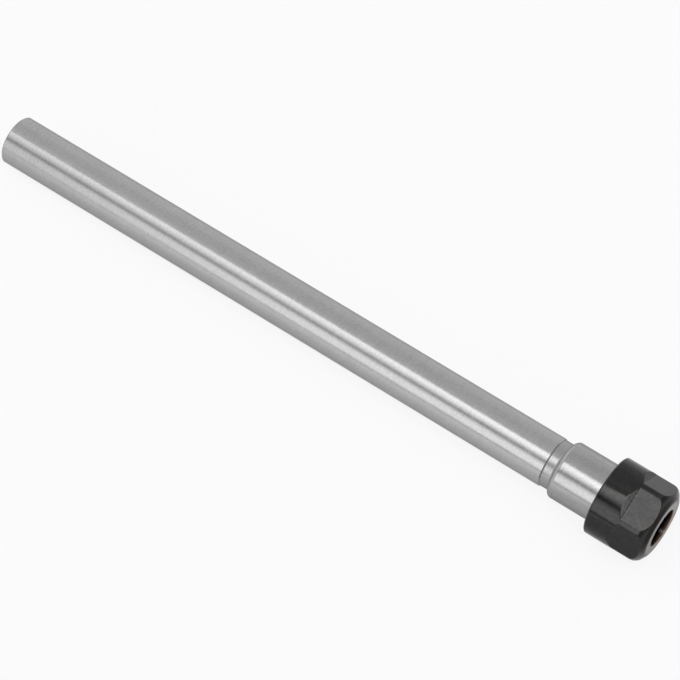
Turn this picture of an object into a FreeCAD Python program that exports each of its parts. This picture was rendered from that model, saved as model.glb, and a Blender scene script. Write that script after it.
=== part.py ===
import FreeCAD
import Part
import math
import os

# Straight shank collet chuck, in millimetres.
# The axis runs along X: the tail end of the shank is at X = 0, and the nut faces +X.
# Z is up, with the chuck lying on its side.

# Shank
shank_diameter = 12.0
shank_length = 150.0
tail_chamfer = 0.3

# Centre hole in the tail, from grinding the shank between centres
centre_mouth_diameter = 4.2
centre_pilot_diameter = 2.0
centre_pilot_length = 2.0
centre_angle = 60.0

# Relief neck between the shank and the head, with the edge of the shank broken into it.
# The neck is a little waisted.
neck_depth = 0.2
neck_waist = 0.03
neck_edge_length = 0.2
neck_length = 2.5

# Head, and the thread in front of it. The thread is a plain cylinder at its pitch diameter.
head_diameter = 14.0
head_shoulder = 0.05
head_length = 12.1
undercut_depth = 0.35
undercut_width = 0.8
thread_pitch = 0.75
thread_chamfer = 0.45

# Taper socket for the collet, and the relief bore behind it
socket_mouth_diameter = 11.0
socket_taper_per_side = 8.0
socket_mouth_chamfer = 0.25
relief_bore_diameter = 7.6
relief_bore_length = 16.0
drill_point_angle = 118.0

# Clamping nut, outside
nut_across_flats = 17.0
flat_depth = 1.0
nut_length = 14.4
nut_rear_chamfer = 0.3
flat_length = 7.2
flat_run_out_angle = 38.0
flat_turn = 18.5
nose_face_diameter = 14.2
nose_cone_angle = 30.0
nose_corner_radius = 2.4

# Clamping nut, inside
front_hole_diameter = 9.2
front_hole_length = 1.2
front_hole_edge = 0.15
collet_seat_angle = 30.0
collar_room_diameter = 11.7
collar_room_length = 0.7
lip_diameter = 11.0
lip_offset = 0.42
lip_length = 0.8
nut_relief_diameter = 14.2
nut_relief_length = 1.2
nut_thread_chamfer = 0.4
counterbore_depth = 1.0

# Clearances between the two pieces
thread_clearance = 0.05
head_clearance = 0.15
head_entry = 0.6
mouth_to_lip = 0.4


def rise(run, angle):
    """Height gained over a run by a line at an angle in degrees."""
    return run * math.tan(math.radians(angle))


# Radii
shank_radius = shank_diameter / 2
neck_radius = shank_radius - neck_depth
head_radius = head_diameter / 2
head_corner_radius = head_radius - neck_radius - head_shoulder
thread_radius = (head_diameter - 0.65 * thread_pitch) / 2
undercut_radius = thread_radius - undercut_depth
mouth_radius = socket_mouth_diameter / 2
relief_radius = relief_bore_diameter / 2
flat_radius = nut_across_flats / 2
nut_radius = flat_radius + flat_depth
nose_radius = nose_face_diameter / 2
hole_radius = front_hole_diameter / 2
collar_room_radius = collar_room_diameter / 2
nut_relief_radius = nut_relief_diameter / 2
nut_thread_radius = thread_radius + thread_clearance
counterbore_radius = head_radius + head_clearance

# Places along the axis: the shank and the head
neck_start = shank_length
head_start = neck_start + neck_length
head_end = head_start + head_length
thread_start = head_end + undercut_width

# Places along the axis: the nut, screwed on until it covers the end of the head
nut_rear = head_end - head_entry
nut_front = nut_rear + nut_length
counterbore_end = nut_rear + counterbore_depth
seat_front = nut_front - front_hole_length
seat_rear = seat_front - (collar_room_radius - hole_radius) / rise(1, collet_seat_angle)
lip_front = seat_rear - collar_room_length
lip_rear = lip_front - lip_length
nut_relief_rear = lip_rear - nut_relief_length

# The front face of the bar stops short of the nut's extractor lip
body_front = lip_rear - mouth_to_lip


def point(x, radius):
    """A point of a turned outline, in the plane that holds the axis."""
    return FreeCAD.Vector(x, 0, radius)


def turned(outline):
    """A solid of revolution about the X axis from a closed outline of (x, radius) points."""
    corners = [point(x, radius) for x, radius in outline]
    wire = Part.makePolygon(corners + corners[:1])
    return Part.Face(wire).revolve(FreeCAD.Vector(), FreeCAD.Vector(1, 0, 0), 360)


def rounded(solid, x, radius, corner_radius):
    """Round the circular edge that lies at x and radius."""
    def is_corner(edge):
        centre = getattr(edge.Curve, "Center", None)
        if centre is None or abs(centre.x - x) > 1e-6:
            return False
        return abs(edge.Curve.Radius - radius) < 1e-6

    corners = [edge for edge in solid.Edges if is_corner(edge)]
    return solid.makeFillet(corner_radius, corners)


def bar_blank():
    """Shank, relief neck, head and thread as one turned bar."""
    outline = [
        (0, 0),
        (0, shank_radius - tail_chamfer),
        (tail_chamfer, shank_radius),
        (neck_start, shank_radius),
        (neck_start + neck_edge_length, neck_radius),
        (neck_start + neck_length / 2, neck_radius - neck_waist),
        (head_start, neck_radius),
        (head_start, head_radius),
        (head_end, head_radius),
        (head_end, undercut_radius),
        (thread_start, undercut_radius),
        (thread_start + undercut_depth, thread_radius),
        (body_front - thread_chamfer, thread_radius),
        (body_front, thread_radius - thread_chamfer),
        (body_front, 0),
    ]
    return rounded(turned(outline), head_start, head_radius, head_corner_radius)


def collet_socket():
    """The space of the taper socket and the drilled relief bore behind it."""
    taper_length = (mouth_radius - relief_radius) / rise(1, socket_taper_per_side)
    taper_end = body_front - taper_length
    bore_end = taper_end - relief_bore_length
    point_length = relief_radius / rise(1, drill_point_angle / 2)
    outline = [
        (bore_end - point_length, 0),
        (bore_end, relief_radius),
        (taper_end, relief_radius),
        (body_front, mouth_radius),
        (body_front, 0),
    ]
    edge = [
        (body_front - socket_mouth_chamfer, 0),
        (body_front - socket_mouth_chamfer, mouth_radius),
        (body_front, mouth_radius + socket_mouth_chamfer),
        (body_front, 0),
    ]
    return turned(outline).fuse(turned(edge))


def centre_hole():
    """The space of the centre hole in the tail face."""
    mouth = centre_mouth_diameter / 2
    pilot = centre_pilot_diameter / 2
    cone_end = (mouth - pilot) / rise(1, centre_angle / 2)
    pilot_end = cone_end + centre_pilot_length
    outline = [
        (0, 0),
        (0, mouth),
        (cone_end, pilot),
        (pilot_end, pilot),
        (pilot_end + pilot / rise(1, drill_point_angle / 2), 0),
    ]
    return turned(outline)


def make_chuck_body():
    """The whole bar: turned outside, taper socket in front, centre hole behind."""
    return bar_blank().cut(collet_socket()).cut(centre_hole())


def nut_blank():
    """The nut's turned outside, with its rear edge broken and its nose coned and rounded."""
    cone_length = rise(nut_radius - nose_radius, nose_cone_angle)
    cone_start = nut_front - cone_length
    outline = [
        (nut_rear, 0),
        (nut_rear, nut_radius - nut_rear_chamfer),
        (nut_rear + nut_rear_chamfer, nut_radius),
        (cone_start, nut_radius),
        (nut_front, nose_radius),
        (nut_front, 0),
    ]
    return rounded(turned(outline), cone_start, nut_radius, nose_corner_radius)


def flat_cutter():
    """The space over one wrench flat, open to the front, with a bevelled run-out behind."""
    past = nut_radius
    flat_start = nut_front - flat_length
    bevel_run = (past - flat_radius + 2) / rise(1, flat_run_out_angle)
    corners = [
        (flat_start, flat_radius),
        (nut_front + 1, flat_radius),
        (nut_front + 1, past + 2),
        (flat_start - bevel_run, past + 2),
    ]
    side = [FreeCAD.Vector(x, -past, height) for x, height in corners]
    face = Part.Face(Part.makePolygon(side + side[:1]))
    return face.extrude(FreeCAD.Vector(0, 2 * past, 0))


def nut_bore():
    """The space inside the nut, from the front hole to the counterbore over the head."""
    front = [
        (nut_front, 0),
        (nut_front, hole_radius + front_hole_edge),
        (nut_front - front_hole_edge, hole_radius),
        (seat_front, hole_radius),
        (seat_rear, collar_room_radius),
        (lip_front, collar_room_radius),
        (lip_front, 0),
    ]
    rear = [
        (lip_rear, 0),
        (lip_rear, nut_relief_radius),
        (nut_relief_rear, nut_relief_radius),
        (nut_relief_rear - (nut_relief_radius - nut_thread_radius), nut_thread_radius),
        (counterbore_end + nut_thread_chamfer, nut_thread_radius),
        (counterbore_end, nut_thread_radius + nut_thread_chamfer),
        (counterbore_end, counterbore_radius),
        (nut_rear, counterbore_radius),
        (nut_rear, 0),
    ]
    lip_bore = Part.makeCylinder(
        lip_diameter / 2,
        lip_length,
        FreeCAD.Vector(lip_rear, 0, lip_offset),
        FreeCAD.Vector(1, 0, 0),
    )
    return turned(front).fuse([lip_bore, turned(rear)])


def make_clamping_nut():
    """The nut: six wrench flats milled on the nose side, and the bore with its extractor lip."""
    nut = nut_blank()
    for number in range(6):
        cutter = flat_cutter()
        cutter.rotate(FreeCAD.Vector(), FreeCAD.Vector(1, 0, 0), flat_turn + 60 * number)
        nut = nut.cut(cutter)
    return nut.cut(nut_bore())


parts = {
    "chuck_body": make_chuck_body(),
    "clamping_nut": make_clamping_nut(),
}

os.makedirs("parts", exist_ok=True)
for name, shape in parts.items():
    solid = shape.Solids[0]
    solid.exportStep("parts/" + name + ".step")
    print(name, "solids", len(shape.Solids), "valid", shape.isValid(), "volume", round(shape.Volume, 1))
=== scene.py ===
import math

import bpy
from bpy.props import FloatProperty, FloatVectorProperty, IntProperty, PointerProperty
from mathutils import Matrix, Vector


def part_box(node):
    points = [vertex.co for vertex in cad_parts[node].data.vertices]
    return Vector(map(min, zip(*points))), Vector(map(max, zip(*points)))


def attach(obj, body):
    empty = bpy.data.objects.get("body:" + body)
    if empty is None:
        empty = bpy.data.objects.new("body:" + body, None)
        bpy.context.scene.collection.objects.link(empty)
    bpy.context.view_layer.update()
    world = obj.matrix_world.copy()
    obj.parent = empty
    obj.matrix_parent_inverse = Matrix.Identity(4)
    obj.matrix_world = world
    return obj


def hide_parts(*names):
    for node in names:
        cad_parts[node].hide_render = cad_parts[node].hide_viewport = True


bl_info = {
    "name": "Straight shank collet chuck",
    "version": (1, 0, 0),
    "blender": (4, 5, 0),
    "location": "3D View > Sidebar > Collet chuck",
    "description": "Turns a slim collet chuck and its clamping nut, and sets a small studio around them",
    "category": "Object",
}

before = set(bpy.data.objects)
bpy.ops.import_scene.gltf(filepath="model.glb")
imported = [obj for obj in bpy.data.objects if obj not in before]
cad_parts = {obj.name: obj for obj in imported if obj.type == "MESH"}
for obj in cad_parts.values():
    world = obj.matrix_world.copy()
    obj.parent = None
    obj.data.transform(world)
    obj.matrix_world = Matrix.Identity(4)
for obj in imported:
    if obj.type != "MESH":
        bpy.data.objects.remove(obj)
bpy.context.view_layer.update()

MM = 0.001
TURN = 2 * math.pi

# Points nearer than this are one point
WELD = 1e-7

# Angles of the cuts, per side, measured from the axis. The nose cone is measured from the nose face.
SOCKET_TAPER = math.radians(8)
DRILL_POINT = math.radians(59)
CENTRE_CONE = math.radians(30)
COLLET_SEAT = math.radians(30)
FLAT_RUN_OUT = math.radians(38)
NOSE_CONE = math.radians(30)

# Fixed sizes of the bar: lengths, and radii where the name says so.
# Its front face stops 0.4 mm short of the nut's extractor lip.
BAR_FRONT = 173.1349 * MM
CENTRE_RADIUS = 2.1 * MM
PILOT_RADIUS = 1 * MM
PILOT_LENGTH = 2 * MM
SHANK_GROOVE_DEPTH = 0.06 * MM
NECK_GROOVE_DEPTH = 0.018 * MM
NECK_GROOVES = 4
NECK_GROOVE_POINTS = 4
HOLLOW_RADIUS = 0.3 * MM
HEAD_ROUNDING_RADIUS = 1.2 * MM
HEAD_ROUNDING_END = 1.25 * MM
HEAD_EDGE = 0.1 * MM
UNDERCUT_DEPTH = 0.35 * MM
UNDERCUT_LENGTH = 0.8 * MM
BAR_THREAD_EDGE = 0.45 * MM
MOUTH_EDGE = 0.25 * MM
MOUTH_EDGE_DROP = 0.035 * MM
RELIEF_BORE_LENGTH = 16 * MM

# Fixed sizes of the nut, which covers the end of the head
HEAD_COVER = 0.6 * MM
NUT_REAR_EDGE = 0.3 * MM
FRONT_HOLE_LENGTH = 1.2 * MM
FRONT_HOLE_EDGE = 0.15 * MM
ROOM_RADIUS = 5.85 * MM
ROOM_LENGTH = 0.7 * MM
LIP_RADIUS = 5.5 * MM
LIP_LENGTH = 0.8 * MM
THREAD_RELIEF_RADIUS = 7.1 * MM
THREAD_RELIEF_LENGTH = 1.2 * MM
NUT_THREAD_EDGE = 0.4 * MM
NUT_THREAD_START = 0.8 * MM
COUNTERBORE_LENGTH = 1 * MM
THREAD_CLEARANCE = 0.05 * MM
HEAD_CLEARANCE = 0.15 * MM

# Radii that part the thread from the wall of the socket on the bar, and from the nut's outside on the nut
BAR_WALL_RADIUS = 6.2 * MM
NUT_WALL_RADIUS = 7 * MM

# How far past the edge of its cylinder the helix starts on the bar, and ends in the nut
THREAD_MARGIN = 0.1 * MM

# Distances between rings of the nut, where its surface bends and where it is plain
FINE = 0.1 * MM
COARSE = 1 * MM

# Places along the axis that the finishes are set from
SHANK_END = 150 * MM
NOSE = 178.4 * MM

# The floor's half width, and how far it stays under the chuck
FLOOR_REACH = 3.0
FLOOR_GAP = 0.02 * MM

# Levels of the light: of the room, of the light over the bar, and the least anywhere
ROOM_LEVEL = 0.61
OVER_LEVEL = 2.45
LEAST_LEVEL = 0.12

# Shares of plain white: the floor's in the view, and the world's in metal and glass
FLOOR_WHITE = 0.87
WORLD_WHITE = 0.03

# The point that the camera looks at
CAMERA_AIM = Vector((93.56, -1.01, -0.49)) * MM


# Node trees, written as expressions


class Wire:
    """An output socket that takes part in Python arithmetic."""

    def __init__(self, tree, socket):
        self.tree = tree
        self.socket = socket

    def math(self, operation, *others):
        return self.tree.calc(operation, self, *others)

    def clamped(self):
        return self.tree.add("ShaderNodeClamp", {}, {"Value": self})

    def step_up(self, low, high):
        """0 below low, 1 above high, and smooth between them."""
        settings = {"interpolation_type": "SMOOTHSTEP"}
        values = {"Value": self, "From Min": low, "From Max": high}
        return self.tree.add("ShaderNodeMapRange", settings, values)

    def band(self, low, low_end, high, high_end):
        """1 between low_end and high, 0 below low and above high_end, and smooth between them."""
        return self.step_up(low, low_end) * (1 - self.step_up(high, high_end))

    def __getitem__(self, name):
        """Another output of the same node."""
        return Wire(self.tree, named(self.socket.node.outputs, name))

    def __add__(self, other):
        return self.math("ADD", other)

    def __radd__(self, other):
        return self.tree.calc("ADD", other, self)

    def __sub__(self, other):
        return self.math("SUBTRACT", other)

    def __rsub__(self, other):
        return self.tree.calc("SUBTRACT", other, self)

    def __mul__(self, other):
        return self.math("MULTIPLY", other)

    def __rmul__(self, other):
        return self.tree.calc("MULTIPLY", other, self)

    def __truediv__(self, other):
        return self.math("DIVIDE", other)

    def __rtruediv__(self, other):
        return self.tree.calc("DIVIDE", other, self)


def named(sockets, key):
    """The socket in use at a number, or with a name."""
    used = [socket for socket in sockets if socket.enabled]
    if isinstance(key, int):
        return used[key]
    return next(socket for socket in used if socket.name == key)


class Tree:
    """A node tree that is written as expressions."""

    def __init__(self, tree):
        self.tree = tree
        tree.nodes.clear()

    def add(self, kind, settings, values=(), output=0):
        """Add a node: its settings first, then the values or wires of its inputs."""
        node = self.tree.nodes.new(kind)
        for name, value in settings.items():
            setattr(node, name, value)
        pairs = values.items() if isinstance(values, dict) else enumerate(values)
        for key, value in pairs:
            socket = named(node.inputs, key)
            if isinstance(value, Wire):
                self.tree.links.new(value.socket, socket)
            else:
                socket.default_value = value
        if any(socket.enabled for socket in node.outputs):
            return Wire(self, named(node.outputs, output))
        return None

    def calc(self, operation, *values):
        return self.add("ShaderNodeMath", {"operation": operation}, values)

    def mix(self, factor, low, high, blend="MIX"):
        """A colour between two colours."""
        settings = {"data_type": "RGBA", "blend_type": blend}
        return self.add("ShaderNodeMix", settings, {"Factor": factor, "A": low, "B": high}, "Result")


# Turned pieces


class Outline:
    """The outline of a turned piece: points of (x, radius) in metres, in the order that the tool passes."""

    def __init__(self):
        self.points = []
        self.corners = []
        self.offsets = []

    def to(self, x, radius, corner=True, offset=0.0):
        """Go straight to a point. A corner stays sharp, and an offset moves that ring up."""
        self.points.append((x, 0.0, radius))
        self.corners.append(1.0 if corner else 0.0)
        self.offsets.append(offset)

    def along(self, x, radius, pitch, corner=True):
        """Go straight to a point, with a ring at each step of about the pitch."""
        x0, _, r0 = self.points[-1]
        steps = max(1, round(math.hypot(x - x0, radius - r0) / pitch))
        for number in range(1, steps):
            part = number / steps
            self.to(x0 + (x - x0) * part, r0 + (radius - r0) * part, corner=False)
        self.to(x, radius, corner)

    def arc(self, centre_x, centre_radius, radius, start, end, step=5):
        """Follow an arc from one angle to another, in degrees from +X towards the outside."""
        count = max(2, math.ceil(abs(end - start) / step))
        for number in range(count + 1):
            angle = math.radians(start + (end - start) * number / count)
            x = centre_x + radius * math.cos(angle)
            self.to(x, centre_radius + radius * math.sin(angle), corner=False)

    def mesh(self, name):
        mesh = bpy.data.meshes.new(name)
        edges = [(number, number + 1) for number in range(len(self.points) - 1)]
        mesh.from_pydata(self.points, edges, [])
        for attribute, values in (("corner", self.corners), ("offset", self.offsets)):
            mesh.attributes.new(attribute, "FLOAT", "POINT").data.foreach_set("value", values)
        return mesh


def turning_tree(name, sizes, ring_rule):
    """Build a Geometry Nodes tree that turns an outline about X.

    sizes are the tree's own named inputs. ring_rule gets the tree, those inputs, and the place
    along X, the radius and the angle of each point. It gives the radius of the real surface, and
    how worn it is there, from 0 to 1; on the nut this also holds a painted highlight line.
    """
    group = bpy.data.node_groups.new(name, "GeometryNodeTree")
    face = group.interface
    face.new_socket("Geometry", in_out="OUTPUT", socket_type="NodeSocketGeometry")
    kinds = {
        "Outline": "NodeSocketGeometry",
        "Segments": "NodeSocketInt",
        "Finish": "NodeSocketMaterial",
        **{size: "NodeSocketFloat" for size in sizes},
    }
    for socket, kind in kinds.items():
        face.new_socket(socket, in_out="INPUT", socket_type=kind)
    tree = Tree(group)
    given = tree.add("NodeGroupInput", {})
    outline = given["Outline"]
    segments = given["Segments"]

    # A grid with one row of points for each point of the outline, and one column more than the segments
    rings = tree.add("GeometryNodeAttributeDomainSize", {"component": "MESH"}, {"Geometry": outline})
    columns = segments + 1
    grid = tree.add("GeometryNodeMeshGrid", {}, {
        "Size X": 1.0,
        "Size Y": 1.0,
        "Vertices X": rings["Point Count"],
        "Vertices Y": columns,
    }, "Mesh")
    index = tree.add("GeometryNodeInputIndex", {})
    ring = (index / columns).math("FLOOR")
    angle = (index - ring * columns) * (TURN / segments)

    def read(kind, value):
        """What the outline holds at this ring."""
        settings = {"data_type": kind, "domain": "POINT"}
        values = {"Geometry": outline, "Value": value, "Index": ring}
        return tree.add("GeometryNodeSampleIndex", settings, values)

    def attribute(label):
        return tree.add("GeometryNodeInputNamedAttribute", {"data_type": "FLOAT"}, {"Name": label})

    def store(geometry, label, value):
        settings = {"data_type": "FLOAT", "domain": "POINT"}
        values = {"Geometry": geometry, "Name": label, "Value": value}
        return tree.add("GeometryNodeStoreNamedAttribute", settings, values)

    # The grid is bent round the axis, and its seam and its poles are closed
    point = read("FLOAT_VECTOR", tree.add("GeometryNodeInputPosition", {}))
    place = tree.add("ShaderNodeSeparateXYZ", {}, {"Vector": point})
    x = place["X"]
    radius, wear_and_highlight = ring_rule(tree, given, x, place["Z"], angle)
    height = radius * angle.math("COSINE") + read("FLOAT", attribute("offset"))
    position = tree.add("ShaderNodeCombineXYZ", {}, {"X": x, "Y": radius * angle.math("SINE"), "Z": height})
    corner = read("FLOAT", attribute("corner"))
    marked = store(store(store(grid, "corner", corner), "ring", ring), "wear_and_highlight", wear_and_highlight)
    bent = tree.add("GeometryNodeSetPosition", {}, {"Geometry": marked, "Position": position})
    whole = tree.add("GeometryNodeMergeByDistance", {}, {"Geometry": bent, "Distance": WELD})

    # An edge is sharp where it runs round a ring that is a corner of the outline. It reads the mean
    # of its two points, which is a half where it runs from one ring to the next.
    between = attribute("ring").math("FRACT").math("COMPARE", 0.5, 0.4)
    sharp = attribute("corner").math("GREATER_THAN", 0.9) * (1 - between)
    smooth = tree.add("GeometryNodeSetShadeSmooth", {"domain": "FACE"}, {
        "Geometry": whole,
        "Shade Smooth": True,
    })
    clean = tree.add("GeometryNodeSetShadeSmooth", {"domain": "EDGE"}, {
        "Geometry": smooth,
        "Selection": sharp,
        "Shade Smooth": False,
    })
    for label in ("corner", "ring"):
        clean = tree.add("GeometryNodeRemoveAttribute", {}, {"Geometry": clean, "Name": label})
    real = tree.add("GeometryNodeRealizeInstances", {}, {"Geometry": clean})
    finished = tree.add("GeometryNodeSetMaterial", {}, {"Geometry": real, "Material": given["Finish"]})
    tree.add("NodeGroupOutput", {}, {"Geometry": finished})
    return group


def turn_piece(name, outline, tree, values):
    """Turn an outline with a tree, and keep the result as a plain mesh."""
    piece = bpy.data.objects.new(name, outline.mesh(name + "_outline"))
    bpy.context.scene.collection.objects.link(piece)
    modifier = piece.modifiers.new("turning", "NODES")
    modifier.node_group = tree
    inputs = {item.name: item.identifier for item in tree.interface.items_tree if item.in_out == "INPUT"}
    for socket, value in values.items():
        modifier[inputs[socket]] = value
    graph = bpy.context.evaluated_depsgraph_get()
    mesh = bpy.data.meshes.new_from_object(piece.evaluated_get(graph))
    piece.modifiers.clear()
    piece.data = mesh
    mesh.name = name
    return piece


def pitch_radius(bar):
    """The radius of the bar's thread at the middle of its height, where it is 0.65 pitches less across."""
    return (bar.head_diameter - 0.65 * bar.thread_pitch) / 2


def screw_thread(tree, x, angle, given):
    """How deep a right-hand thread is cut at a point. Its crests are flat over a sixth of the pitch."""
    turns = x / given["Thread Pitch"] + angle / TURN
    tooth = ((turns.math("FRACT") - 0.5).math("ABSOLUTE") * 2.4 - 0.2).clamped()
    runs_in = x.step_up(given["Thread Start"], given["Thread Start"] + given["Thread Pitch"])
    runs_out = x.step_up(given["Thread End"] - given["Thread Pitch"], given["Thread End"])
    return tooth * runs_in * (1 - runs_out) * given["Thread Depth"]


THREAD_SIZES = ("Thread Pitch", "Thread Depth", "Thread Start", "Thread End")
FLAT_SIZES = (
    "Flat Radius", "Flat Start", "Run Out Slope", "Flat Turn", "Edge Rounding", "Edge Wear",
    "Groove Width", "Groove Depth")


def bar_rule(tree, given, x, radius, angle):
    """The bar is round, with the thread cut into the front of it."""
    on_outside = radius.math("GREATER_THAN", BAR_WALL_RADIUS)
    return radius - screw_thread(tree, x, angle, given) * on_outside, 0.0


def nut_rule(tree, given, x, radius, angle):
    """Six flats cut the nut's outside, with a bevelled run-out, and a thread is cut into its bore."""
    sixth = TURN / 6
    across = (((angle + given["Flat Turn"]) / sixth + 0.5).math("FRACT") - 0.5) * sixth
    behind = given["Flat Start"] - x
    groove = (1 - behind.math("ABSOLUTE") / given["Groove Width"]).clamped() * given["Groove Depth"]
    flat = given["Flat Radius"] + behind.math("MAXIMUM", 0.0) * given["Run Out Slope"] - groove
    cut = flat / across.math("COSINE")
    outside = radius.math("SMOOTH_MIN", cut, given["Edge Rounding"])
    in_bore = radius.math("LESS_THAN", NUT_WALL_RADIUS)

    # The edges of the flats are a little worn, and this lighter wear also stands in for highlights on them.
    # On the upper side a line in front of the groove is a painted highlight.
    above_flat = radius - cut
    edge = (1 - above_flat.math("ABSOLUTE") / given["Edge Wear"]).clamped() * 0.35
    edge = edge * behind.math("LESS_THAN", 0.0)
    line = (1 - (behind + given["Groove Width"] * 1.3).math("ABSOLUTE") / given["Groove Width"]).clamped()
    line = line * angle.math("COSINE").step_up(0.3, 0.7)
    wear_and_highlight = edge.math("MAXIMUM", line * above_flat.math("GREATER_THAN", 0.0))
    return outside + screw_thread(tree, x, angle, given) * in_bore, wear_and_highlight


# Sizes and colours


def length(name, value, description):
    """A length property, given in millimetres."""
    return FloatProperty(
        name=name, description=description, default=value * MM, min=0.0, unit="LENGTH", precision=5)


def colour(name, value, description):
    return FloatVectorProperty(
        name=name, description=description, subtype="COLOR", size=3, default=value, min=0.0, max=1.0)


class ChuckBar(bpy.types.PropertyGroup):
    """The bar: shank, neck, head, thread and collet socket."""

    shank_diameter: length("Shank diameter", 12.0, "Ground shank that the tool holder grips")
    shank_length: length("Shank length", 150.0, "From the tail face to the relief neck")
    tail_chamfer: length("Tail chamfer", 0.3, "Broken edge of the tail face")
    neck_depth: length("Neck depth", 0.2, "How far the relief neck lies under the shank")
    neck_edge: length("Neck edge", 0.2, "Broken edge between the shank and the neck")
    neck_length: length("Neck length", 2.5, "Relief neck between the shank and the head")
    head_diameter: length("Head diameter", 14.0, "Ground head behind the nut")
    head_length: length("Head length", 12.1, "From the neck to the thread's undercut")
    thread_pitch: length("Thread pitch", 0.75, "Fine right-hand thread under the nut")
    thread_depth: length("Thread depth", 0.4, "How deep the thread is cut into the bar and the nut")
    socket_mouth: length("Socket mouth", 11.0, "Wide end of the collet taper")
    relief_bore: length("Relief bore", 7.6, "Bore behind the collet taper")
    colour: colour("Steel", (0.49, 0.49, 0.49), "Ground and hardened steel")
    segments: IntProperty(name="Segments", description="Steps round the bar", default=256, min=32, max=480)


class ClampingNut(bpy.types.PropertyGroup):
    """The nut: round collar, six flats and coned nose."""

    across_flats: length("Across flats", 17.0, "Size of the wrench")
    flat_depth: length("Flat depth", 1.0, "From the collar down to a flat")
    nut_length: length("Nut length", 14.4, "From the rear edge to the nose face")
    flat_length: length("Flat length", 7.2, "From the run-out to the nose face")
    nose_face: length("Nose face", 14.2, "Outer edge of the ring on the nose")
    nose_corner: length("Nose corner", 2.4, "Rounding between the collar's diameter and the nose cone")
    nose_edge: length("Nose edge", 1.6, "Rounding between the nose cone and the nose face")
    groove_width: length("Groove width", 0.09, "Fine groove that the cutter leaves at the end of a flat")
    groove_depth: length("Groove depth", 0.04, "How deep that groove is")
    front_hole: length("Front hole", 9.2, "Hole that the cutter's shank passes")
    lip_offset: length("Lip offset", 0.42, "How far the extractor lip lies off the axis")
    edge_rounding: length("Edge rounding", 0.12, "Width over which the edges of the flats are rounded")
    edge_wear: length("Edge wear", 0.07, "How deep under the edges of the flats the blackening is worn")
    flat_turn: FloatProperty(
        name="Flat turn", description="Where the flats lie, from the top towards the front",
        default=math.radians(18.5), subtype="ANGLE")
    colour: colour("Black oxide", (0.05, 0.05, 0.05), "Blackened steel")
    segments: IntProperty(name="Segments", description="Steps round the nut", default=480, min=96, max=600)


class ChuckStage(bpy.types.PropertyGroup):
    """The floor and the camera."""

    floor_colour: colour("Floor", (0.84, 0.84, 0.84), "Pale plain floor")
    azimuth: FloatProperty(
        name="Azimuth", description="Camera's turn about the upright, from the front",
        default=math.radians(35.0), subtype="ANGLE")
    elevation: FloatProperty(
        name="Elevation", description="Camera's height angle", default=math.radians(59.47), subtype="ANGLE")
    distance: length("Distance", 657.4, "From the camera to the middle of the bar")
    lens: FloatProperty(
        name="Lens", description="Focal length in millimetres on a 36 mm sensor", default=153.96)


# Finishes


def surface_coordinates(tree):
    """The place as a vector, its X, Y and Z, and the distance from the axis, in metres."""
    place = tree.add("ShaderNodeTexCoord", {}, output="Object")
    parts = tree.add("ShaderNodeSeparateXYZ", {}, {"Vector": place})
    x, y, z = parts["X"], parts["Y"], parts["Z"]
    return place, x, y, z, (y * y + z * z).math("SQRT")


def cloud(tree, place, scale, detail=2.0):
    """Noise about zero, the same in all directions, with the given number of lumps in a metre."""
    values = {"Vector": place, "Scale": scale, "Detail": detail}
    return tree.add("ShaderNodeTexNoise", {}, values, "Fac") - 0.5


def streaks(tree, x, y, z, radius, along, across):
    """Noise about zero, drawn out round the axis, with so many streaks in a metre along it or outwards."""
    values = {"X": (x + radius) * along, "Y": y * across, "Z": z * across}
    return cloud(tree, tree.add("ShaderNodeCombineXYZ", {}, values), 1.0)


def new_material(name):
    material = bpy.data.materials.new(name)
    material.use_nodes = True
    return material, Tree(material.node_tree)


def times(tint, *factors):
    """A colour made lighter or darker, by one factor or by three."""
    if len(factors) == 1:
        factors = factors * 3
    return (*(min(1.0, level * factor) for level, factor in zip(tint, factors)), 1.0)


def grey(level):
    return (level, level, level, 1.0)


def bump(tree, height):
    """The normal over a surface whose height is given in metres."""
    return tree.add("ShaderNodeBump", {}, {"Strength": 1.0, "Distance": 1.0, "Height": height})


def finish(material, tree, surface):
    shader = tree.add("ShaderNodeBsdfPrincipled", {}, surface)
    tree.add("ShaderNodeOutputMaterial", {}, {"Surface": shader})
    return material


def ground_steel(tint):
    """Steel ground round the bar: fine marks that run round it, on a slightly uneven ground."""
    material, tree = new_material("ground_steel")
    place, x, y, z, radius = surface_coordinates(tree)
    marks = streaks(tree, x, y, z, radius, 9000, 400)
    lines = streaks(tree, x, y, z, radius, 2600, 300)
    grain = cloud(tree, place, 2000)
    clouds = cloud(tree, place, 260, 3.0)

    # In front of the shank the steel is a little darker, and the neck and the foot of the head are duller
    turned = x.step_up(SHANK_END + 0.05 * MM, SHANK_END + 0.2 * MM)
    neck = turned * (1 - x.step_up(SHANK_END + 2.3 * MM, SHANK_END + 3.0 * MM))
    foot = x.band(SHANK_END + 2.1 * MM, SHANK_END + 2.4 * MM, SHANK_END + 3.1 * MM, SHANK_END + 3.6 * MM)
    shade = 0.85 + marks * 0.2 + lines * 0.25 + grain * 0.5 + clouds * 0.2 - turned * 0.14 - neck * 0.08
    return finish(material, tree, {
        "Base Color": tree.mix(shade.clamped(), times(tint, 0.55), times(tint, 1.08)),
        "Metallic": 0.85 + turned * 0.13,
        "Specular Tint": grey(0.5),
        "Roughness": 0.18 + clouds * 0.06 + lines * 0.08 + neck * 0.06 + foot * 0.25,
        "Normal": bump(tree, marks * 1.5e-6 + lines * 3e-6 + grain * 8e-6),
    })


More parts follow.
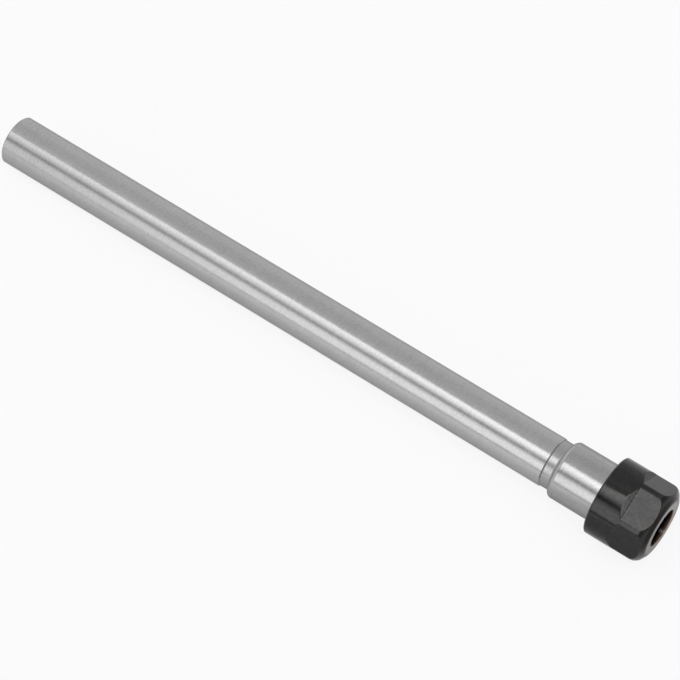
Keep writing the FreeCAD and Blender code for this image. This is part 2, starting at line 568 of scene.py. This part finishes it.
def black_oxide(tint):
    """Blackened steel, satin: a little blue and brown, worn on the edges of the flats and pale on the nose
    face. Painted shade darkens the cone and the depth of the hole, and painted highlights lie on the upper
    side and in the hole.
    """
    material, tree = new_material("black_oxide_steel")
    place, x, y, z, radius = surface_coordinates(tree)
    marks = streaks(tree, x, y, z, radius, 5000, 600)
    grain = cloud(tree, place, 1300)
    clouds = cloud(tree, place, 420, 3.0)
    hue = cloud(tree, place, 600)

    # The blackening. On the cone it is darker and browner, which is painted shade.
    blue = times(tint, 0.98, 1.0, 1.02)
    brown = times(tint, 1.04, 1.0, 0.97)
    cone = x.step_up(NOSE - 1.9 * MM, NOSE - 1.4 * MM) * (1 - radius.step_up(8.25 * MM, 8.45 * MM))
    base = tree.mix((0.5 + hue * 2).clamped(), blue, brown)
    base = tree.mix(cone, base, times(tint, 0.46, 0.42, 0.37))
    shades = tree.mix((0.5 + clouds * 0.35 + grain * 0.7).clamped(), grey(0.6), grey(1.4))
    shaded = tree.mix(1.0, base, shades, "MULTIPLY")

    # The edges are worn a little, lighter, which also stands in for highlights on them, and a painted
    # highlight line lies on the upper side. The nose face is pale, browner on the side that lies low.
    edges = tree.add("ShaderNodeAttribute", {"attribute_name": "wear_and_highlight"}, output="Fac")
    bare_and_highlight = (edges * (0.25 + grain * 1.2)).clamped()
    face = x.step_up(NOSE - 0.2 * MM, NOSE - 0.1 * MM) * (1 - radius.step_up(6.1 * MM, 6.9 * MM))
    high = ((z * 0.9 - y * 0.44) / radius + clouds).step_up(-0.9, -0.2)
    pale_colour = tree.mix(high, (0.36, 0.27, 0.21, 1.0), (0.3, 0.285, 0.276, 1.0))
    coated = tree.mix((face * 0.9 + bare_and_highlight * (1 - face)).clamped(), shaded, pale_colour)

    # The wall of the hole is rust-brown near the face, with painted shade making it dark farther in, and one
    # painted highlight stripe.
    hole = x.step_up(NOSE - 1.3 * MM, NOSE - 1.1 * MM) * (1 - radius.step_up(4.62 * MM, 4.72 * MM))
    outer = (x.step_up(NOSE - 1.1 * MM, NOSE - 0.1 * MM) + grain * 0.8).clamped()
    from_stripe = (y * 0.9 + z * 0.435 + 0.64 * MM).math("ABSOLUTE")
    painted_highlight_stripe = (1 - from_stripe / (0.45 * MM)).clamped()
    rust_shade_and_highlight = tree.mix(outer, (0.02, 0.019, 0.02, 1.0), (0.3, 0.2, 0.14, 1.0))
    rust_shade_and_highlight = tree.mix((painted_highlight_stripe * (1 + grain * 2)).clamped(), rust_shade_and_highlight, (0.4, 0.37, 0.35, 1.0))
    return finish(material, tree, {
        "Base Color": tree.mix(hole, coated, rust_shade_and_highlight),
        "Metallic": 1.0,
        "Specular Tint": grey(0.95),
        "Roughness": 0.07 + clouds * 0.02 + grain * 0.06 + face * 0.12 + hole * 0.25,
        "Normal": bump(tree, marks * 1.5e-6 + grain * 6e-6),
    })


# Pieces and stage


class CHUCK_OT_bar(bpy.types.Operator):
    """Turn the bar with its ground shank, neck, head, thread and collet socket"""

    bl_idname = "collet_chuck.bar"
    bl_label = "Turn the bar"

    def execute(self, context):
        size = context.scene.chuck_bar
        shank = size.shank_diameter / 2
        neck = shank - size.neck_depth
        head = size.head_diameter / 2
        neck_end = size.shank_length + size.neck_length
        head_end = neck_end + size.head_length
        thread = pitch_radius(size)
        undercut = thread - UNDERCUT_DEPTH
        thread_start = head_end + UNDERCUT_LENGTH
        mouth = size.socket_mouth / 2
        bore = size.relief_bore / 2
        taper_end = BAR_FRONT - (mouth - bore) / math.tan(SOCKET_TAPER)
        bore_end = taper_end - RELIEF_BORE_LENGTH
        pilot_start = (CENTRE_RADIUS - PILOT_RADIUS) / math.tan(CENTRE_CONE)
        pilot_end = pilot_start + PILOT_LENGTH

        # The centre hole from its bottom outwards, the tail and the shank
        outline = Outline()
        outline.to(pilot_end + PILOT_RADIUS / math.tan(DRILL_POINT), 0, corner=False)
        outline.to(pilot_end, PILOT_RADIUS)
        outline.to(pilot_start, PILOT_RADIUS)
        outline.to(0, CENTRE_RADIUS)
        outline.to(0, shank - size.tail_chamfer)
        outline.to(size.tail_chamfer, shank)
        outline.to(size.shank_length, shank)
        outline.to(size.shank_length + size.neck_edge, neck - SHANK_GROOVE_DEPTH)

        # The head rises from the neck in a small hollow and a larger rounding, which meet at one angle
        radii = HOLLOW_RADIUS + HEAD_ROUNDING_RADIUS
        meet = math.acos(1 - (head - neck) / radii)
        rounding_end = neck_end + HEAD_ROUNDING_END
        foot = rounding_end - radii * math.sin(meet)

        # Turning marks in the neck: shallow grooves with sharp ridges between them
        neck_start = size.shank_length + 2 * size.neck_edge
        count = NECK_GROOVES * NECK_GROOVE_POINTS
        for number in range(count):
            part = number % NECK_GROOVE_POINTS / NECK_GROOVE_POINTS
            place = neck_start + (foot - neck_start) * number / count
            outline.to(place, neck - NECK_GROOVE_DEPTH * 4 * part * (1 - part), corner=part == 0)

        # The head, the undercut, the thread and the front face
        meet = math.degrees(meet)
        outline.arc(foot, neck + HOLLOW_RADIUS, HOLLOW_RADIUS, -90, meet - 90, step=10)
        outline.arc(rounding_end, head - HEAD_ROUNDING_RADIUS, HEAD_ROUNDING_RADIUS, 90 + meet, 90)
        outline.to(head_end - HEAD_EDGE, head)
        outline.to(head_end, head - HEAD_EDGE)
        outline.to(head_end, undercut)
        outline.to(thread_start, undercut)
        outline.to(thread_start + UNDERCUT_DEPTH, thread)
        outline.along(BAR_FRONT - BAR_THREAD_EDGE, thread, size.thread_pitch / 10)
        outline.to(BAR_FRONT, thread - BAR_THREAD_EDGE)

        # The collet socket and its relief bore, down to the drill's point
        outline.to(BAR_FRONT, mouth + MOUTH_EDGE)
        outline.to(BAR_FRONT - MOUTH_EDGE, mouth - MOUTH_EDGE_DROP)
        outline.to(taper_end, bore)
        outline.to(bore_end, bore)
        outline.to(bore_end - bore / math.tan(DRILL_POINT), 0, corner=False)

        tree = turning_tree("turn_bar", THREAD_SIZES, bar_rule)
        bar = turn_piece("turned_bar", outline, tree, {
            "Segments": size.segments,
            "Finish": ground_steel(size.colour),
            "Thread Pitch": size.thread_pitch,
            "Thread Depth": size.thread_depth,
            "Thread Start": thread_start + THREAD_MARGIN,
            "Thread End": BAR_FRONT + size.thread_pitch,
        })
        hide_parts("chuck_body")
        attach(bar, "bar")
        return {"FINISHED"}


class CHUCK_OT_nut(bpy.types.Operator):
    """Turn the clamping nut, mill its six flats and bore it with its extractor lip"""

    bl_idname = "collet_chuck.nut"
    bl_label = "Make the clamping nut"

    def execute(self, context):
        size = context.scene.chuck_nut
        bar = context.scene.chuck_bar
        rear = bar.shank_length + bar.neck_length + bar.head_length - HEAD_COVER
        front = rear + size.nut_length
        flat = size.across_flats / 2
        collar = flat + size.flat_depth
        nose = size.nose_face / 2
        hole = size.front_hole / 2
        flat_start = front - size.flat_length
        slope = math.tan(FLAT_RUN_OUT)
        run_out = flat_start - size.flat_depth / slope
        thread = pitch_radius(bar) + THREAD_CLEARANCE
        seat_front = front - FRONT_HOLE_LENGTH
        seat_rear = seat_front - (ROOM_RADIUS - hole) / math.tan(COLLET_SEAT)
        lip_front = seat_rear - ROOM_LENGTH
        lip_rear = lip_front - LIP_LENGTH
        relief_rear = lip_rear - THREAD_RELIEF_LENGTH
        counterbore = bar.head_diameter / 2 + HEAD_CLEARANCE
        counterbore_end = rear + COUNTERBORE_LENGTH
        groove = size.groove_width

        # The rounding is tangent to the collar's diameter and to the nose cone, 60 degrees apart
        corner = size.nose_corner
        cone_start = front - (collar - nose) * math.tan(NOSE_CONE)
        corner_x = cone_start - corner * math.tan(math.radians(60) / 2)

        # The nose face is rounded into the cone, 30 degrees apart
        edge = size.nose_edge
        edge_x = front - edge
        edge_radius = nose - edge * math.tan(NOSE_CONE / 2)

        # The outside, with rings close together where the flats run out and at the groove
        outline = Outline()
        outline.to(rear, counterbore)
        outline.to(rear, collar - NUT_REAR_EDGE)
        outline.to(rear + NUT_REAR_EDGE, collar)
        outline.to(run_out - FINE, collar, corner=False)
        outline.along(flat_start - 2 * groove, collar, FINE, corner=False)
        outline.along(flat_start + 3 * groove, collar, groove / 4, corner=False)
        outline.along(corner_x - FINE, collar, COARSE, corner=False)
        outline.arc(corner_x, collar - corner, corner, 90, 30, step=2.5)
        cone_end = edge_x + edge * math.cos(NOSE_CONE)
        outline.along(cone_end, edge_radius + edge * math.sin(NOSE_CONE), FINE, corner=False)
        outline.arc(edge_x, edge_radius, edge, 30, 0)

        # The nose face, the front hole, the seat, the collet's room and the lip
        outline.along(front, hole + FRONT_HOLE_EDGE, COARSE / 2)
        outline.to(front - FRONT_HOLE_EDGE, hole)
        outline.to(seat_front, hole)
        outline.to(seat_rear, ROOM_RADIUS)
        outline.to(lip_front, ROOM_RADIUS)
        outline.to(lip_front, LIP_RADIUS, offset=size.lip_offset)
        outline.to(lip_rear, LIP_RADIUS, offset=size.lip_offset)

        # The thread between its relief and the counterbore
        outline.to(lip_rear, THREAD_RELIEF_RADIUS)
        outline.to(relief_rear, THREAD_RELIEF_RADIUS)
        outline.to(relief_rear - (THREAD_RELIEF_RADIUS - thread), thread)
        outline.along(counterbore_end + NUT_THREAD_EDGE, thread, bar.thread_pitch / 8)
        outline.to(counterbore_end, thread + NUT_THREAD_EDGE)
        outline.to(counterbore_end, counterbore)
        outline.to(rear, counterbore)

        tree = turning_tree("turn_nut", THREAD_SIZES + FLAT_SIZES, nut_rule)
        nut = turn_piece("black_nut", outline, tree, {
            "Segments": size.segments,
            "Finish": black_oxide(size.colour),
            "Thread Pitch": bar.thread_pitch,
            "Thread Depth": bar.thread_depth,
            "Thread Start": rear + NUT_THREAD_START,
            "Thread End": relief_rear + THREAD_MARGIN,
            "Flat Radius": flat,
            "Flat Start": flat_start,
            "Run Out Slope": slope,
            "Flat Turn": size.flat_turn,
            "Edge Rounding": size.edge_rounding,
            "Edge Wear": size.edge_wear,
            "Groove Width": groove,
            "Groove Depth": size.groove_depth,
        })
        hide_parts("clamping_nut")
        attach(nut, "nut")
        return {"FINISHED"}


def floor_material(tint):
    """A pale floor that keeps the object's shadow, with a share of plain white in the view, and in metal a
    painted glow that is brighter in some places.
    """
    material, tree = new_material("pale_floor")
    _, x, y, _, _ = surface_coordinates(tree)
    cloth = tree.add("ShaderNodeBsdfDiffuse", {}, {"Color": (*tint, 1.0), "Roughness": 0.5})
    white = tree.add("ShaderNodeEmission", {}, {"Color": grey(1.0), "Strength": 1.0})
    ray = tree.add("ShaderNodeLightPath", {})
    in_metal = ray["Is Glossy Ray"] + ray["Is Transmission Ray"]

    # Painted light: in metal the floor glows whitest in front of the shank, less past the tail and in
    # front of the nut, and a little under the bar and behind it. Before the nose it hardly glows.
    front = (0 - y).step_up(2 * MM, 60 * MM) * (0.23 + x.step_up(-60 * MM, -5 * MM) * 0.6)
    front = front * (1 - x.step_up(135 * MM, 157 * MM) * 0.9)
    under = y.step_up(-12 * MM, -7 * MM) * 0.3 + y.step_up(0.0, 10 * MM) * 0.2
    before_nose = x.step_up(174 * MM, 179 * MM)
    white_and_painted_glow = in_metal * (front + under) * (1 - before_nose * 0.9)
    white_and_painted_glow = (ray["Is Camera Ray"] * FLOOR_WHITE + white_and_painted_glow).clamped()
    shader = tree.add("ShaderNodeMixShader", {}, {0: white_and_painted_glow, 1: cloth, 2: white})
    tree.add("ShaderNodeOutputMaterial", {}, {"Surface": shader})
    return material


def studio_light(world):
    """Two long soft lights, over the bar and in front of it, in a pale room, as rings round the X axis.

    How much light comes from a direction follows from two numbers. x is how far it points along
    the bar. degrees is how high it stands when seen along the bar, shifted a little with x: 0 is
    level in front, 90 is straight up and 180 is level behind. Seen by the camera, each stretch of
    the object mirrors its own x, so the rings change a little from the tail to the nut.
    """
    tree = Tree(world.node_tree)
    way = tree.add("ShaderNodeTexCoord", {}, output="Generated")
    parts = tree.add("ShaderNodeSeparateXYZ", {}, {"Vector": way})
    x, y, z = parts["X"], parts["Y"], parts["Z"]
    degrees = z.math("ARCTAN2", 0 - y) * (180 / math.pi) - (x + 0.18).math("MINIMUM", 0.05) * 23

    # What the tail, the shank up to its end, that end with the head, and the nut mirror
    tail = 1 - x.step_up(-0.42, -0.34)
    far = 1 - x.step_up(-0.27, -0.19)
    end = x.band(-0.26, -0.2, -0.195, -0.181)
    nut = x.band(-0.195, -0.181, -0.15, 0.0)

    # The light over the bar. Its upper edge is sharp, with a faint wider one along the shank.
    over = degrees.step_up(51 - far * 7 + tail * 10 - nut * 4, 77 + far * 10 - nut * 3)
    sharp_edge = degrees.step_up(85.5 - nut * 9, 91.5 - nut * 3)
    wide_edge = degrees.step_up(90, 101)
    over = over * (1 - sharp_edge * (1 - far * 0.15) - wide_edge * far * 0.15)
    over_strength = ((x + 0.66) / 0.66).math("MAXIMUM", 0.0).math("MINIMUM", 0.77) - tail * 0.02

    # The light in front of the bar
    lower_edge = degrees.step_up(6.5 - far * 3 - nut * 4, 13 - far - nut * 3)
    upper_edge = degrees.step_up(29 + far * 2 - nut * 1.5, 51.5 + far * 1.5 - nut * 1.5)
    side = lower_edge * (1 - upper_edge)
    side_strength = ((x + 0.49) / 0.19).clamped() * 0.98 + nut * 0.2
    side_strength = side_strength * (1 - x.step_up(0.1, 0.4))

    # The room is darker between the lights, and at the horizon for the end. For the nut it is lighter there.
    down = nut * 4
    gap = degrees.band(43 - down, 49 - down, 54 - down, 60 - down)
    gap = gap * (0.38 - far * 0.12 + ((tail + end) * 0.06 - nut * 0.3))
    horizon = degrees.band(0, 3, 7, 11) * (end * 0.08 - nut * 0.1)

    # It is lighter beyond the light over the bar and past the tail, darker past the nose, and it
    # changes slowly along the bar
    beyond = degrees.band(96, 101, 105 - far * 5, 120 - far * 8) * 0.6
    beyond = beyond + degrees.step_up(135, 170)
    behind = 1 - x.step_up(-0.9, -0.55)
    ahead = x.step_up(0.2, 0.35) * 0.3 - x.step_up(0.7, 0.8) * 0.2 + x.step_up(0.88, 0.95) * 0.34
    room = ROOM_LEVEL - horizon - gap + beyond * 0.14 + behind * 0.3 - ahead
    room = room - (x + 0.41).math("MINIMUM", 0.25) * 0.25 + x.step_up(-0.15, 0.05) * 0.1

    # The camera sees plain white, and metal and glass a little of it
    light = room + over * over_strength * OVER_LEVEL + side * side_strength
    ray = tree.add("ShaderNodeLightPath", {})
    in_metal = ray["Is Glossy Ray"] + ray["Is Transmission Ray"]
    white = (ray["Is Camera Ray"] + in_metal * WORLD_WHITE).clamped()
    strength = light.math("MAXIMUM", LEAST_LEVEL) * (1 - white) + white
    glow = tree.add("ShaderNodeBackground", {}, {"Color": grey(1.0), "Strength": strength})
    tree.add("ShaderNodeOutputWorld", {}, {"Surface": glow})


class CHUCK_OT_stage(bpy.types.Operator):
    """Lay the pale floor, light it softly and set the camera"""

    bl_idname = "collet_chuck.stage"
    bl_label = "Set the stage"

    def execute(self, context):
        scene = context.scene
        stage = scene.chuck_stage

        # The floor touches the edge of the tail and the collar of the nut, as the chuck lies
        bar_radius = scene.chuck_bar.shank_diameter / 2
        collar = scene.chuck_nut.across_flats / 2 + scene.chuck_nut.flat_depth
        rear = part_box("clamping_nut")[0].x
        slope = (collar - bar_radius) / rear
        corners = [
            (x * FLOOR_REACH, y * FLOOR_REACH, -bar_radius - slope * x * FLOOR_REACH - FLOOR_GAP)
            for x, y in ((-1, -1), (1, -1), (1, 1), (-1, 1))
        ]
        mesh = bpy.data.meshes.new("floor")
        mesh.from_pydata(corners, [], [(0, 1, 2, 3)])
        mesh.materials.append(floor_material(stage.floor_colour))
        floor = bpy.data.objects.new("floor", mesh)
        scene.collection.objects.link(floor)

        scene.world = scene.world or bpy.data.worlds.new("studio")
        scene.world.use_nodes = True
        studio_light(scene.world)

        turn = stage.azimuth
        height = stage.elevation
        back = Vector((
            math.cos(height) * math.sin(turn),
            -math.cos(height) * math.cos(turn),
            math.sin(height),
        ))
        right = Vector((math.cos(turn), math.sin(turn), 0))
        up = back.cross(right)
        lens = bpy.data.cameras.new("camera")
        lens.sensor_width = 36
        lens.lens = stage.lens
        lens.clip_start = 0.01
        camera = bpy.data.objects.new("camera", lens)
        camera.matrix_world = Matrix((right, up, back)).transposed().to_4x4()
        camera.location = CAMERA_AIM + back * stage.distance
        scene.collection.objects.link(camera)
        scene.camera = camera
        scene.view_settings.view_transform = "Standard"
        return {"FINISHED"}


class CHUCK_PT_panel(bpy.types.Panel):
    """The chuck's sizes, finishes and buttons"""

    bl_idname = "CHUCK_PT_panel"
    bl_label = "Collet chuck"
    bl_space_type = "VIEW_3D"
    bl_region_type = "UI"
    bl_category = "Collet chuck"

    def draw(self, context):
        for operator, group in STEPS:
            box = self.layout.box()
            settings = getattr(context.scene, group)
            for name in settings.__annotations__:
                box.prop(settings, name)
            box.operator(operator.bl_idname)


STEPS = (
    (CHUCK_OT_bar, "chuck_bar"),
    (CHUCK_OT_nut, "chuck_nut"),
    (CHUCK_OT_stage, "chuck_stage"),
)
GROUPS = {"chuck_bar": ChuckBar, "chuck_nut": ClampingNut, "chuck_stage": ChuckStage}


def register():
    for name, group in GROUPS.items():
        bpy.utils.register_class(group)
        setattr(bpy.types.Scene, name, PointerProperty(type=group))
    for operator, _ in STEPS:
        bpy.utils.register_class(operator)
    bpy.utils.register_class(CHUCK_PT_panel)


def unregister():
    bpy.utils.unregister_class(CHUCK_PT_panel)
    for operator, _ in STEPS:
        bpy.utils.unregister_class(operator)
    for name, group in GROUPS.items():
        delattr(bpy.types.Scene, name)
        bpy.utils.unregister_class(group)


def main():
    register()
    bpy.ops.collet_chuck.bar()
    bpy.ops.collet_chuck.nut()
    bpy.ops.collet_chuck.stage()


if __name__ == "__main__":
    main()
